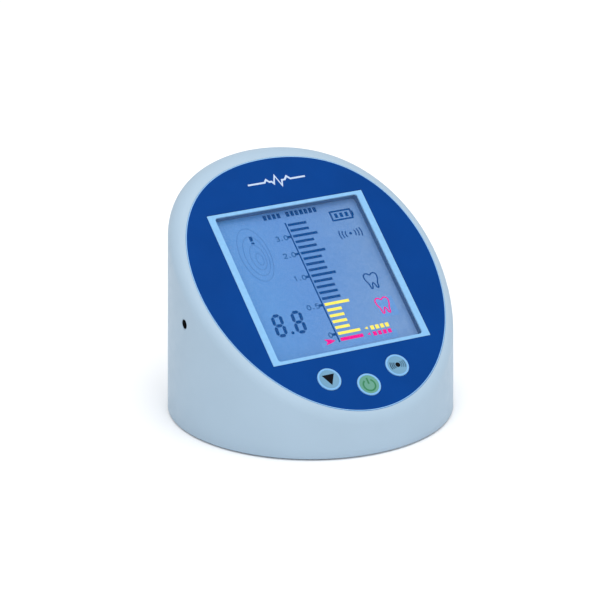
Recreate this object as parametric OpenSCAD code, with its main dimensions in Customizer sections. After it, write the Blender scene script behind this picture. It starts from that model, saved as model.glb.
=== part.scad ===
// Apex locator: a round drum with a sloping face, a segment display behind a square window, three round
// push-buttons, a socket for the probe lead in the left wall and a charging socket in the back wall.
// Millimetres, +Z up, front at -Y. The origin is under the middle of the outline, on the plane of the feet.

/* [Body] */
// Mean radius of the drum where it meets its base
body_r = 54.8; // [53:0.1:57]
// Height of the sloping face over the drum's middle
face_h = 59.3; // [57:0.1:61]
// Slope of the face from the horizontal, in degrees
face_tilt = 39.1; // [38:0.1:40]
// Thickness of the housing's walls
wall = 2.5; // [2:0.1:2.8]
// How far the wall leans in for each millimetre of height
draft = 0.018; // [0:0.001:0.03]
// Mean radius of the rolled rim round the face
rim_r = 6.35; // [6:0.05:6.8]
// Height of the housing's lower edge over the surface that the feet stand on
foot_gap = 0.6; // [0.4:0.1:1]

/* [Face] */
// Thickness of the printed panel
panel_t = 0.5; // [0.4:0.1:0.6]
// Width and height of the window in the panel
window_size = [67.8, 68.2]; // [66:0.2:69]
// Width and height of the display that can be seen
view_size = [62, 65.2]; // [58:0.2:66]
// Depth from the window frame's top down to the display glass
view_depth = 2.6; // [2:0.1:3]
// How far down the slope the window's middle lies from the drum's middle
window_drop = 7.1; // [6:0.1:7.5]

/* [Buttons] */
// Radius of a button's cap
key_r = 4.7; // [4.3:0.1:4.9]
// How far a button travels when it is pressed
key_travel = 0.5; // [0.3:0.1:0.6]
// Distance of the two outer buttons from the middle line
key_spread = 14.6; // [14:0.1:16]
// How far down the slope the two outer buttons lie
key_row = 50.8; // [50:0.1:52]
// How far down the slope the middle button lies
power_row = 56.2; // [55:0.1:57]

/* [Sockets] */
// Radius of the probe socket's bore, for a 3.5 mm plug
probe_r = 1.8; // [1.77:0.01:1.85]
// Height of the probe socket
probe_h = 43.3; // [40:0.1:44]
// Radius of the charging socket's bore, for a 5.5 mm barrel plug
charge_r = 2.9; // [2.8:0.05:3]
// Height of the charging socket
charge_h = 27.5; // [27:0.5:29]

/* [Base] */
// Thickness of the base plate
plate_t = 2.2; // [2:0.1:2.4]
// Radius of a rubber foot
foot_r = 4.5; // [4:0.1:5]
// Half the distance between the feet, sideways and front to back
foot_at = [31, 30]; // [28:1:31]

/* [Hidden] */

$fn = 64;
eps = 0.01;

// The plan is nearly round: a little flatter in front and behind, most of all behind, and a little square.
flat_ends = 0.0113;
flat_back = 0.0077;
squareness = 0.0031;
rim_more_behind = 1.16;
rim_more_at_ends = 1.8;
steps = 60;
angles = [for (i = [0:steps - 1]) i * 360 / steps];

// Radius of the plan at an angle counted from the back (+Y)
function plan_r(a) =
    body_r * (1 - flat_ends * cos(2 * a) - flat_back * cos(3 * a) - squareness * cos(4 * a));
// Radius of the rolled rim at that angle
function rim_radius(a) = rim_r + rim_more_behind * cos(a) + rim_more_at_ends * cos(2 * a);
// Share of the plan that is left at a height, because of the draft
function lean(z) = 1 - draft * z / body_r;
// Height of a point that lies a depth r under the face, at a distance y behind the drum's middle
function under_face(y, r) = face_h + (y * sin(face_tilt) - r) / cos(face_tilt);
function polar(r, a) = [r * sin(a), r * cos(a)];
// Centre of the rim's round section at an angle, from the drum's middle
function rim_centre(a) =
    let (p = polar(plan_r(a) - rim_radius(a), a),
         k = lean(under_face(p.y, rim_radius(a))))
    [p.x * k, p.y * k, under_face(p.y * k, rim_radius(a))];
// The line on the face where the flat ends and the rim starts, in the face's own axes
function face_edge(a, share = 1) =
    let (c = rim_centre(a))
    share * [c.x, c.y * cos(face_tilt) + (c.z - face_h) * sin(face_tilt)];

// The drum's middle is a little behind the middle of its outline
axis_y = (plan_r(180) - plan_r(0)) / 2;

// Levels under the face, along its normal
panel_gap = 0.1;
recess = panel_t + panel_gap;
recess_share = 1.0065;
panel_share = 1.005;
window_y = -window_drop;
frame_lap = 0.8;
frame_gap = 0.2;
frame_flange = 1.2;
frame_flange_w = 3;
view_corner_r = 1.2;
glass_size = view_size + [5, 4];
glass_top = -recess - view_depth;
glass_t = 2.2;
board_top = -8;
board_t = 1.6;
behind_glass = glass_top - glass_t - board_top;
backlight_size = glass_size - [6, 8];
lamp_size = [1.6, 3, 2.4];
lamp_rows = [-20, 0, 20];
contact_strip = [glass_size.x - 4, 2.4];
contact_row = glass_size.y / 2 - 1.8;
display_board_share = 0.94;
display_board_size = [88, 100];
display_board_v = window_y - 10;
board_notch = [7, 10];
board_notch_v = -10;
display_boss_r = 2.8;
display_boss_at = [[40, 12], [40, -28], [26, -47.5]];
display_pilot_r = 0.9;
display_clear_r = 1.3;

// Buttons, from the top down
running_gap = 0.15;
key_top = 0.15;
key_flange_r = 5.9;
key_flange_t = 1;
key_under_wall = 0.1;
key_flange_bottom = -wall - key_under_wall - key_flange_t;
stem_r = 1.5;
stem_l = 0.3;
plunger_r = 1.65;
plunger_top = key_flange_bottom - stem_l;
plunger_l = 1.1;
switch_w = 6;
switch_top = -4.6;
switch_bore_r = plunger_r + 0.15;
switch_bore_floor = plunger_top - plunger_l - key_travel - 0.6;
down_at = [-key_spread, -key_row];
power_at = [0, -power_row];
sound_at = [key_spread, -key_row];

// Sockets
probe_y = 0.4;
probe_body_r = 3.8;
probe_body_l = 11;
probe_nose_r = 2.05;
probe_nose_back = 0.15;
probe_nose_gap = 0.1;
probe_bore_l = 12.5;
probe_collar = [1.5, 6];
lug_size = [3, 1.5, 0.4];
lug_off = 2;
probe_wall_x = -plan_r(90) * lean(probe_h);
probe_back_x = probe_wall_x + wall + probe_body_l;
charge_nose_r = 4;
charge_wall_y = axis_y + plan_r(0) * lean(charge_h);
charge_body = [9, 13, 11];
charge_bore_l = 10;
charge_nose_back = 0.3;
charge_pin_r = 1;
charge_pin_back = 1.5;

// Base, battery bay and main board
plate_z = foot_gap + 0.4;
plate_top = plate_z + plate_t;
plate_gap = 0.25;
base_screw_at = [40, 25.5];
base_boss_r = 4.2;
base_boss_h = 12;
base_rib = [6, 3];
base_screw_r = 1.2;
base_pilot_r = 1.25;
base_pilot_l = 10;
base_clear_r = 1.5;
base_head_r = 2.8;
base_head_depth = 1.2;
foot_depth = 1;
vent_at = [-37, -6];
vent_size = [10, 1.2];
vent_pitch = 2.6;
bay_in = [33, 50];
bay_y = 12;
bay_wall = 1.5;
bay_top = 15.6;
door_size = [40, 64];
door_corner_r = 3;
door_gap = 0.2;
door_t = 1.3;
door_screw_y = 29;
door_boss = [2.4, 8];
door_pilot = [0.9, 6.5];
door_head_depth = 0.7;
door_grip_at = [0, -20];
door_grip_size = [14, 0.8, 0.4];
door_grip_pitch = 1.6;
cell_r = 5.25;
cell_l = 44.5;
cell_z = plate_z + door_t + 0.5 + cell_r;
cell_pitch = 2 * cell_r + 0.3;
cell_cap = [1.9, 1];
contact_t = 0.4;
contact_w = 9;
spring_r = [3.6, 2];
spring_turns = 2.5;
spring_wire_r = 0.3;
// Each cell stands with its cap on the contact plate, and the next one is turned end for end
cell_off = bay_in.y / 2 - contact_t - cell_l;
function cell_end(i) = i == 0 ? 1 : -1;
main_z = 20;
main_y = 15;
main_size = [60, 62];
main_corner_r = 49.5;
main_screw_at = [26.5, 22.5];
main_screw_y = bay_y - 1;
pillar_r = 2.8;
main_top = main_z + board_t;
chip_at = [0, 12];
chip_size = [12, 12, 1.6];
small_chip_at = [[-16, 22], [-16, 32], [17, 20]];
small_chip_size = [5, 6, 1.5];
capacitor_at = [[10, 32], [18, 32], [24, 22]];
capacitor = [3, 8];
transformer_at = [18, 6];
transformer_size = [13, 11, 9];
buzzer_at = [-16, -6];
buzzer_size = [6, 7];

// Cables
ribbon_w = 16;
ribbon_t = 0.8;
ribbon_v = -12;
ribbon_main_y = -5;
ribbon_plug = [ribbon_w + 2, 5, 2.5];
ribbon_reach = 9;
lead_plug = [7, 7, 5];
probe_plug_at = [-22, 8, main_top];
battery_plug_at = [18, -8, main_top];
lead_r = 0.6;
lead_spread = 1.5;
battery_hole_x = 12;

// Colours
pale_grey = [0.69, 0.75, 0.80];
panel_blue = [0.05, 0.27, 0.58];
sky_blue = [0.60, 0.78, 0.95];
display_blue = [0.40, 0.59, 0.82];
board_green = [0.10, 0.38, 0.22];
dark_grey = [0.16, 0.17, 0.18];
silver = [0.75, 0.76, 0.77];
brass = [0.80, 0.66, 0.35];

// ---- Shared shapes ----

// Places its children in the face's own axes: X to the right, Y up the slope, Z out of the face
module on_face() {
    translate([0, axis_y, face_h]) rotate([face_tilt, 0, 0]) children();
}

// The drum without its recess and openings, its surface moved in by inset
module drum(inset = 0) {
    hull() {
        translate([0, axis_y, inset > 0 ? 0 : foot_gap])
            linear_extrude(0.1) polygon([for (a = angles) polar(plan_r(a) - inset, a)]);
        on_face() translate([0, 0, -inset - 0.1])
            linear_extrude(0.1) polygon([for (a = angles) face_edge(a)]);
        for (a = angles)
            translate(rim_centre(a) + [0, axis_y, 0]) sphere(rim_radius(a) - inset, $fn = 24);
    }
}

// A rounded bar of the given size, centred sideways, standing on z = 0
module rounded_block(size, r) {
    linear_extrude(size.z) rounded_rect([size.x, size.y], r);
}

// A rectangle with round corners made of true arcs
module rounded_rect(size, r) {
    square([size.x - 2 * r, size.y], center = true);
    square([size.x, size.y - 2 * r], center = true);
    for (x = [-1, 1], y = [-1, 1])
        translate([x * (size.x / 2 - r), y * (size.y / 2 - r)]) circle(r);
}

// A pan-head screw with a cross slot, its head's seat at z = 0 and its shank running down
module screw(shank_r, shank_l, head_r, head_h) {
    difference() {
        union() {
            translate([0, 0, -shank_l]) cylinder(r = shank_r, h = shank_l + eps);
            cylinder(r = head_r, h = head_h);
        }
        for (turn = [0, 90])
            rotate(turn) translate([-head_r * 0.6, -0.3, head_h / 2]) cube([head_r * 1.2, 0.6, head_h]);
    }
}

// Puts its children at four places that mirror each other about both middle lines
module at_corners(at) {
    for (x = [-1, 1], y = [-1, 1]) translate([x * at.x, y * at.y, 0]) children();
}

// Puts its children at the bosses that hold the display board
module at_display_bosses() {
    for (at = display_boss_at, side = [-1, 1]) translate([side * at.x, at.y, 0]) children();
}

function unit(v) = v / norm(v);
// A point on a smooth curve that starts at p[0], ends at p[3] and is drawn towards the two between
function bezier(p, t) = pow(1 - t, 3) * p[0] + 3 * t * pow(1 - t, 2) * p[1]
    + 3 * t * t * (1 - t) * p[2] + pow(t, 3) * p[3];
// The direction of that curve at the same place
function heading(p, t) = unit(pow(1 - t, 2) * (p[1] - p[0]) + 2 * t * (1 - t) * (p[2] - p[1])
    + t * t * (p[3] - p[2]));

// A round wire whose centre runs through the points of middle, with its direction at each point and a
// direction that lies roughly across it
module swept_wire(middle, along, across, r, sides) {
    last = len(middle) - 1;
    points = [for (i = [0:last])
        let (d = along[i],
             u = unit(across[i] - (across[i] * d) * d),
             v = cross(d, u))
        each [for (s = [0:sides - 1])
            middle[i] + r * (cos(s * 360 / sides) * u + sin(s * 360 / sides) * v)]];
    start_face = [for (s = [0:sides - 1]) s];
    end_face = [for (s = [sides - 1:-1:0]) last * sides + s];
    side_faces = [for (i = [0:last - 1], s = [0:sides - 1])
        let (next = (s + 1) % sides, a = i * sides, b = (i + 1) * sides)
        each [[a + s, b + s, b + next], [a + s, b + next, a + next]]];
    polyhedron(points, concat([start_face], [end_face], side_faces));
}

// A lead along a bezier route; across is a direction that the route never takes
module lead(route, across) {
    cuts = 18;
    swept_wire([for (i = [0:cuts]) bezier(route, i / cuts)], [for (i = [0:cuts]) heading(route, i / cuts)],
        [for (i = [0:cuts]) across], lead_r, 8);
}

// ---- Housing and face ----

module housing() {
    color(pale_grey) difference() {
        union() {
            difference() {
                drum();
                drum(wall);
            }
            // Bosses for the base screws, each joined to the wall by a rib
            at_corners(base_screw_at) translate([0, 0, plate_top])
                cylinder(r = base_boss_r, h = base_boss_h);
            for (x = [-1, 1], y = [-1, 1]) rotate(atan2(y * base_screw_at.y, x * base_screw_at.x))
                translate([norm(base_screw_at), -base_rib.y / 2, plate_top + 1])
                    cube([base_rib.x, base_rib.y, base_boss_h - 2]);
            // Bosses for the display board
            on_face() at_display_bosses() translate([0, 0, board_top])
                cylinder(r = display_boss_r, h = -board_top - wall / 2);
            // Collar that holds the probe socket
            translate([probe_wall_x + wall / 2, probe_y, probe_h]) rotate([0, 90, 0])
                cylinder(r = probe_body_r + probe_collar[0], h = wall / 2 + probe_collar[1]);
        }
        // Recess for the printed panel
        on_face() translate([0, 0, -recess])
            linear_extrude(recess + 1) polygon([for (a = angles) face_edge(a, recess_share)]);
        // Opening for the window frame
        on_face() translate([0, window_y, -wall - 1])
            linear_extrude(wall + 2)
                square(window_size + [1, 1] * 2 * (frame_lap + frame_gap), center = true);
        // Holes for the buttons
        on_face() for (at = [down_at, power_at, sound_at])
            translate([at.x, at.y, -wall - 1]) cylinder(r = key_r + running_gap, h = wall + 2);
        // Screw holes in the bosses
        at_corners(base_screw_at) translate([0, 0, plate_top - eps])
            cylinder(r = base_pilot_r, h = base_pilot_l);
        on_face() at_display_bosses() translate([0, 0, board_top - eps])
            cylinder(r = display_pilot_r, h = 5);
        // Hole for the probe socket's nose, and the socket's seat in its collar
        translate([probe_wall_x - 1, probe_y, probe_h]) rotate([0, 90, 0])
            cylinder(r = probe_nose_r + probe_nose_gap, h = wall + 2);
        translate([probe_wall_x + wall, probe_y, probe_h]) rotate([0, 90, 0])
            cylinder(r = probe_body_r + 0.02, h = probe_collar[1] + 2);
        // Hole for the charging socket's nose
        translate([0, charge_wall_y + 1, charge_h]) rotate([90, 0, 0])
            cylinder(r = charge_nose_r + 0.1, h = wall + 2);
    }
}

module face_panel() {
    color(panel_blue) on_face() translate([0, 0, -recess]) difference() {
        linear_extrude(panel_t) polygon([for (a = angles) face_edge(a, panel_share)]);
        translate([0, window_y, -1]) linear_extrude(panel_t + 2) square(window_size, center = true);
        for (at = [down_at, power_at, sound_at])
            translate([at.x, at.y, -1]) cylinder(r = key_r + running_gap, h = panel_t + 2);
    }
}

module window_frame() {
    frame_bottom = -wall - frame_flange;
    color(sky_blue) on_face() translate([0, window_y, 0]) difference() {
        union() {
            translate([0, 0, -wall]) linear_extrude(wall - recess)
                square(window_size + [1, 1] * 2 * frame_lap, center = true);
            translate([0, 0, frame_bottom]) linear_extrude(frame_flange)
                square(window_size + [1, 1] * 2 * frame_flange_w, center = true);
        }
        translate([0, 0, frame_bottom - 1])
            rounded_block([view_size.x, view_size.y, 2 - frame_bottom], view_corner_r);
        translate([0, 0, frame_bottom - 1])
            linear_extrude(glass_top - frame_bottom + 1) square(glass_size + [0.2, 0.2], center = true);
    }
}

module display_window() {
    color([0.8, 0.9, 1, 0.3]) on_face() translate([0, window_y, -recess])
        linear_extrude(panel_t - 0.1) square(window_size - [0.1, 0.1], center = true);
}

// ---- Display ----

module display_glass() {
    color(display_blue) on_face() translate([0, window_y, glass_top - glass_t])
        linear_extrude(glass_t) square(glass_size, center = true);
}

module backlight() {
    color("white") on_face() translate([0, window_y, board_top])
        linear_extrude(behind_glass) square(backlight_size, center = true);
}

module backlight_lamps() {
    color("ivory") on_face() for (y = lamp_rows)
        translate([backlight_size.x / 2 + 0.1, window_y + y - lamp_size.y / 2, board_top]) cube(lamp_size);
}

module display_contacts() {
    color("dimgray") on_face() for (side = [-1, 1])
        translate([0, window_y + side * contact_row, board_top])
            linear_extrude(behind_glass) square(contact_strip, center = true);
}

module display_board() {
    color(board_green) on_face() translate([0, 0, board_top - board_t]) difference() {
        linear_extrude(board_t) intersection() {
            polygon([for (a = angles) face_edge(a, display_board_share)]);
            translate([0, display_board_v]) square(display_board_size, center = true);
        }
        at_display_bosses() translate([0, 0, -1]) cylinder(r = display_clear_r, h = board_t + 2);
        // Notch in the left edge that clears the probe socket
        translate([-display_board_size.x / 2, board_notch_v, -1])
            linear_extrude(board_t + 2) square(board_notch, center = true);
    }
}

module display_screws() {
    color(silver) on_face() at_display_bosses() translate([0, 0, board_top - board_t])
        mirror([0, 0, 1]) screw(0.85, 5.5, 2.2, 1.5);
}

// ---- Buttons, each with its switch and plunger ----

// A cap with a flange that rests under the housing's wall, and a stem on the switch's plunger
module button(at) {
    on_face() translate([at.x, at.y, key_flange_bottom]) {
        cylinder(r = key_r, h = key_top - key_flange_bottom);
        cylinder(r = key_flange_r, h = key_flange_t);
        translate([0, 0, -stem_l]) cylinder(r = stem_r, h = stem_l + eps);
    }
}

module switch_body(at) {
    color(dark_grey) on_face() translate([at.x, at.y, 0]) difference() {
        translate([-switch_w / 2, -switch_w / 2, board_top])
            cube([switch_w, switch_w, switch_top - board_top]);
        translate([0, 0, switch_bore_floor])
            cylinder(r = switch_bore_r, h = switch_top - switch_bore_floor + 1);
    }
}

module plunger(at) {
    color("black") on_face() translate([at.x, at.y, plunger_top - plunger_l])
        cylinder(r = plunger_r, h = plunger_l);
}

module down_button() { color([0.62, 0.73, 0.82]) button(down_at); }
module power_button() { color([0.50, 0.74, 0.56]) button(power_at); }
module sound_button() { color([0.62, 0.73, 0.82]) button(sound_at); }
module down_switch() { switch_body(down_at); }
module power_switch() { switch_body(power_at); }
module sound_switch() { switch_body(sound_at); }
module down_plunger() { plunger(down_at); }
module power_plunger() { plunger(power_at); }
module sound_plunger() { plunger(sound_at); }

// ---- Sockets ----

module probe_socket() {
    nose_l = wall - probe_nose_back;
    color(dark_grey) translate([probe_wall_x + wall, probe_y, probe_h]) rotate([0, 90, 0]) difference() {
        union() {
            cylinder(r = probe_body_r, h = probe_body_l);
            translate([0, 0, -nose_l]) cylinder(r = probe_nose_r, h = nose_l + eps);
        }
        translate([0, 0, -nose_l - 1]) cylinder(r = probe_r, h = probe_bore_l + 1);
    }
}

module probe_lugs() {
    color(brass) for (side = [-1, 1])
        translate([probe_back_x, probe_y - lug_size.y / 2, probe_h + side * lug_off - lug_size.z / 2])
            cube(lug_size);
}

// Two leads from the probe socket's lugs down to a plug on the main board
module probe_leads() {
    for (side = [-1, 1]) color(side > 0 ? "firebrick" : "white")
        let (lug = [probe_back_x + lug_size.x, probe_y, probe_h + side * lug_off],
             plug = probe_plug_at + [0, side * lead_spread, lead_plug.z])
            lead([lug, lug + [12, 0, 0], plug + [0, 0, 12], plug], [0, 1, 0]);
}

module charge_socket() {
    inner_y = charge_wall_y - wall - 0.2;
    color(dark_grey) difference() {
        union() {
            translate([-charge_body.x / 2, inner_y - charge_body.y, main_top])
                cube([charge_body.x, charge_body.y, charge_body.z]);
            translate([0, charge_wall_y - charge_nose_back, charge_h]) rotate([90, 0, 0])
                cylinder(r = charge_nose_r, h = wall + 1);
        }
        translate([0, charge_wall_y, charge_h]) rotate([90, 0, 0])
            cylinder(r = charge_r, h = charge_bore_l);
    }
}

module charge_pin() {
    color(silver) translate([0, charge_wall_y - charge_pin_back, charge_h]) rotate([90, 0, 0])
        cylinder(r = charge_pin_r, h = charge_bore_l - charge_pin_back);
}

// ---- Main board ----

module main_board() {
    color(board_green) translate([0, 0, main_z]) difference() {
        intersection() {
            translate([-main_size.x / 2, main_y - main_size.y / 2, 0])
                cube([main_size.x, main_size.y, board_t]);
            translate([0, 0, -1]) cylinder(r = main_corner_r, h = board_t + 2);
        }
        translate([0, main_screw_y, -1]) at_corners(main_screw_at) cylinder(r = 1.5, h = board_t + 2);
    }
}

module board_screws() {
    color(silver) translate([0, main_screw_y, main_top]) at_corners(main_screw_at) screw(0.95, 8, 2.4, 1.6);
}

module measuring_chip() {
    color("black") translate([chip_at.x, chip_at.y, main_top]) rounded_block(chip_size, 0.6);
}

module small_chips() {
    color("black") for (at = small_chip_at)
        translate([at.x, at.y, main_top]) rounded_block(small_chip_size, 0.3);
}

module capacitors() {
    color("steelblue") for (at = capacitor_at)
        translate([at.x, at.y, main_top]) cylinder(r = capacitor[0], h = capacitor[1]);
}

module isolating_transformer() {
    color("khaki") translate([transformer_at.x, transformer_at.y, main_top])
        rounded_block(transformer_size, 1);
}

module buzzer() {
    color("black") translate([buzzer_at.x, buzzer_at.y, main_top]) difference() {
        cylinder(r = buzzer_size[0], h = buzzer_size[1]);
        translate([0, 0, buzzer_size[1] / 2]) cylinder(r = 1, h = buzzer_size[1]);
    }
}

// A point in a plane across the body, from its place up the slope and its level out of the face
function face_to_yz(v, n) = [axis_y + v * cos(face_tilt) - n * sin(face_tilt),
    face_h + v * sin(face_tilt) + n * cos(face_tilt)];

// A flat cable from the plug under the display board to the plug on the main board
module ribbon_cable() {
    top = board_top - board_t - ribbon_plug.z;
    end = [ribbon_main_y, main_top + ribbon_plug.z];
    route = [face_to_yz(ribbon_v, top), face_to_yz(ribbon_v, top - ribbon_reach),
        end + [0, ribbon_reach], end];
    cuts = 16;
    across = [for (i = [0:cuts]) let (d = heading(route, i / cuts)) [-d.y, d.x]];
    one_side = [for (i = [0:cuts]) bezier(route, i / cuts) + across[i] * ribbon_t / 2];
    other_side = [for (i = [cuts:-1:0]) bezier(route, i / cuts) - across[i] * ribbon_t / 2];
    color("lightgray") translate([-ribbon_w / 2, 0, 0]) rotate([90, 0, 90])
        linear_extrude(ribbon_w) polygon(concat(one_side, other_side));
}

module ribbon_plugs() {
    color("ivory") {
        on_face() translate([0, ribbon_v, board_top - board_t])
            translate([-ribbon_plug.x / 2, -ribbon_plug.y / 2, -ribbon_plug.z]) cube(ribbon_plug);
        translate([-ribbon_plug.x / 2, ribbon_main_y - ribbon_plug.y / 2, main_top]) cube(ribbon_plug);
    }
}

module lead_plugs() {
    color("ivory") for (at = [probe_plug_at, battery_plug_at])
        translate(at - [lead_plug.x / 2, lead_plug.y / 2, 0]) cube(lead_plug);
}

// ---- Battery ----

module battery_cells() {
    color("seagreen") for (i = [-1:1])
        translate([i * cell_pitch, bay_y - cell_end(i) * cell_off, cell_z])
            rotate([90 * cell_end(i), 0, 0]) {
                cylinder(r = cell_r, h = cell_l - cell_cap[1]);
                cylinder(r = cell_cap[0], h = cell_l);
            }
}

// Contact plates at both ends of the bay
module battery_plates() {
    color(silver) for (end = [-1, 1], i = [-1:1])
        translate([i * cell_pitch, bay_y + end * (bay_in.y - contact_t) / 2, cell_z])
            cube([contact_w, contact_t, contact_w], center = true);
}

// Conical contact springs at the flat end of each cell, wound from a thin wire
module battery_springs() {
    cuts = 36;
    height = bay_in.y - 2 * contact_t - cell_l - 2 * spring_wire_r;
    coil = [for (i = [0:cuts])
        let (t = i / cuts, a = 360 * spring_turns * t, r = spring_r[0] + (spring_r[1] - spring_r[0]) * t)
        [r * cos(a), r * sin(a), spring_wire_r + t * height]];
    along = [for (i = [0:cuts]) unit(coil[min(i + 1, cuts)] - coil[max(i - 1, 0)])];
    color(silver) for (i = [-1:1])
        translate([i * cell_pitch, bay_y + cell_end(i) * (bay_in.y / 2 - contact_t), cell_z])
            rotate([90 * cell_end(i), 0, 0])
                swept_wire(coil, along, [for (p = coil) [p.x, p.y, 0]], spring_wire_r, 6);
}

// Two leads from the bay's front wall to a plug on the main board
module battery_leads() {
    front = bay_y - bay_in.y / 2 - bay_wall;
    for (side = [-1, 1]) color(side > 0 ? "firebrick" : "black")
        let (hole = [battery_hole_x + side * lead_spread, front, cell_z],
             plug = battery_plug_at + [side * lead_spread, 0, lead_plug.z])
            lead([hole, hole - [0, 22, 0], plug + [0, 0, 9], plug], [1, 0, 0]);
}

// ---- Base ----

module base_plate() {
    color(pale_grey) difference() {
        union() {
            translate([0, axis_y, plate_z])
                linear_extrude(plate_t) polygon([for (a = angles) polar(plan_r(a) - wall - plate_gap, a)]);
            // Walls and roof of the battery bay
            translate([0, bay_y, plate_z])
                linear_extrude(bay_top - plate_z) square(bay_in + [2, 2] * bay_wall, center = true);
            // Pillars under the main board
            translate([0, main_screw_y, plate_z]) at_corners(main_screw_at)
                cylinder(r = pillar_r, h = main_z - plate_z);
            // Bosses for the battery door's screws
            for (end = [-1, 1]) translate([0, bay_y + end * door_screw_y, plate_z])
                cylinder(r = door_boss[0], h = door_boss[1]);
        }
        // Battery bay, open underneath
        translate([0, bay_y, plate_z - 1])
            linear_extrude(bay_top - bay_wall - plate_z + 1) square(bay_in, center = true);
        // Rebate for the battery door
        translate([0, bay_y, plate_z - 1]) linear_extrude(door_t + 1.1)
            rounded_rect(door_size + [2, 2] * door_gap, door_corner_r + door_gap);
        // Screw holes: base, main board and door
        at_corners(base_screw_at) translate([0, 0, plate_z - 1])
            cylinder(r = base_clear_r, h = plate_t + 2);
        at_corners(base_screw_at) translate([0, 0, plate_z - 1])
            cylinder(r = base_head_r + 0.2, h = base_head_depth + 1);
        translate([0, main_screw_y, main_z - 8.5]) at_corners(main_screw_at) cylinder(r = 1, h = 9);
        for (end = [-1, 1]) translate([0, bay_y + end * door_screw_y, plate_z])
            cylinder(r = door_pilot[0], h = door_pilot[1]);
        // Seats of the feet
        at_corners(foot_at) translate([0, 0, plate_z - 1]) cylinder(r = foot_r + 0.1, h = foot_depth + 1);
        // Slots that let the buzzer's sound out
        for (i = [-2:2]) translate([vent_at.x, vent_at.y + i * vent_pitch, plate_z - 1])
            linear_extrude(plate_t + 2) square(vent_size);
    }
}

module base_screws() {
    color(silver) at_corners(base_screw_at) translate([0, 0, plate_z + base_head_depth]) mirror([0, 0, 1])
        screw(base_screw_r, base_pilot_l - 1, base_head_r, base_head_depth - 0.1);
}

module battery_door() {
    color(pale_grey) translate([0, bay_y, plate_z]) difference() {
        linear_extrude(door_t) rounded_rect(door_size, door_corner_r);
        for (end = [-1, 1]) translate([0, end * door_screw_y, -1]) {
            cylinder(r = 1.1, h = door_t + 2);
            cylinder(r = 2.2, h = door_head_depth + 1);
        }
        // Grooves for a finger
        for (i = [-3:3]) translate([door_grip_at.x, door_grip_at.y + i * door_grip_pitch, 0])
            cube([door_grip_size.x, door_grip_size.y, 2 * door_grip_size.z], center = true);
    }
}

module door_screws() {
    color(silver) for (end = [-1, 1]) translate([0, bay_y + end * door_screw_y, plate_z + door_head_depth])
        mirror([0, 0, 1]) screw(door_pilot[0] - 0.05, 5, 2, door_head_depth - 0.05);
}

module feet() {
    color("black") at_corners(foot_at) cylinder(r = foot_r, h = plate_z + foot_depth);
}

housing();
face_panel();
window_frame();
display_window();
display_glass();
backlight();
backlight_lamps();
display_contacts();
display_board();
display_screws();
down_button();
power_button();
sound_button();
down_switch();
power_switch();
sound_switch();
down_plunger();
power_plunger();
sound_plunger();
probe_socket();
probe_lugs();
probe_leads();
charge_socket();
charge_pin();
main_board();
board_screws();
measuring_chip();
small_chips();
capacitors();
isolating_transformer();
buzzer();
ribbon_cable();
ribbon_plugs();
lead_plugs();
battery_cells();
battery_plates();
battery_springs();
battery_leads();
base_plate();
base_screws();
battery_door();
door_screws();
feet();
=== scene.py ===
"""Looks of the apex locator: a round drum with a sloping blue face, a segment display and three buttons."""
import math

import bpy
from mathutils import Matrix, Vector


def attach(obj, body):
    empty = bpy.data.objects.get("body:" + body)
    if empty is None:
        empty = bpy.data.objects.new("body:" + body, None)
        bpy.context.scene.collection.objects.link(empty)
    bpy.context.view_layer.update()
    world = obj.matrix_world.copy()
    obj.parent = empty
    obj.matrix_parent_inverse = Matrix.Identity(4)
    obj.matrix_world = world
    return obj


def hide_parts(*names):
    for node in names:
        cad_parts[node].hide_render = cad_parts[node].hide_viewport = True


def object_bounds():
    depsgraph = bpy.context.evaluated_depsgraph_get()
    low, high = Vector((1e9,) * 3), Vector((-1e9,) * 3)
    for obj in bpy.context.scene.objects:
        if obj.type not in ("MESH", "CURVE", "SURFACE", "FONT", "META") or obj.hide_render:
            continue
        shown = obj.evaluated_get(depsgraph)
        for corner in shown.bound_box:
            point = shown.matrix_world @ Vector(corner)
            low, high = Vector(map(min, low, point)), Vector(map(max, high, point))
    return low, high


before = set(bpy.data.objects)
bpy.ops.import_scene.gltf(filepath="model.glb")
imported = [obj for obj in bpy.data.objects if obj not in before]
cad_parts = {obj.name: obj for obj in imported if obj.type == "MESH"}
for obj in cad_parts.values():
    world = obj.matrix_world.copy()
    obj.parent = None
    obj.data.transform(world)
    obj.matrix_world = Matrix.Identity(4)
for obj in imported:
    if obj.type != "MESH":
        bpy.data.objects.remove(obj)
cad_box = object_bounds()

# ---- Sizes in millimetres, the same as the CAD source's ----

MM = 0.001
BODY_R = 54.8
FACE_H = 59.3
FACE_TILT = math.radians(39.1)
WALL = 2.5
DRAFT = 0.018
RIM_R = 6.35
FOOT_GAP = 0.6
FLAT_ENDS = 0.0113
FLAT_BACK = 0.0077
SQUARENESS = 0.0031
RIM_MORE_BEHIND = 1.16
RIM_MORE_AT_ENDS = 1.8
RECESS_SHARE = 1.0065
PANEL_TOP = -0.1
PANEL_BOTTOM = -0.6
PANE_TOP = -0.2
WINDOW = (67.8, 68.2)
WINDOW_Y = -7.1
VIEW = (62.0, 65.2)
VIEW_CORNER_R = 1.2
GLASS = (67.0, 69.2)
GLASS_TOP = -3.2
FRAME_LAP = 0.8
FRAME_GAP = 0.2
FRAME_BOTTOM = -3.7
FRAME_FLANGE = 3.0
KEY_R = 4.7
KEY_GAP = 0.15
KEY_TOP = 0.15
KEY_FLANGE_R = 5.9
KEY_FLANGE_TOP = -2.6
KEY_FLANGE_BOTTOM = -3.6
KEY_STEM_R = 1.5
KEY_STEM_BOTTOM = -3.9
# Each button's middle on the face
KEYS = {"down": (-14.6, -50.8), "power": (0.0, -56.2), "sound": (14.6, -50.8)}
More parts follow.
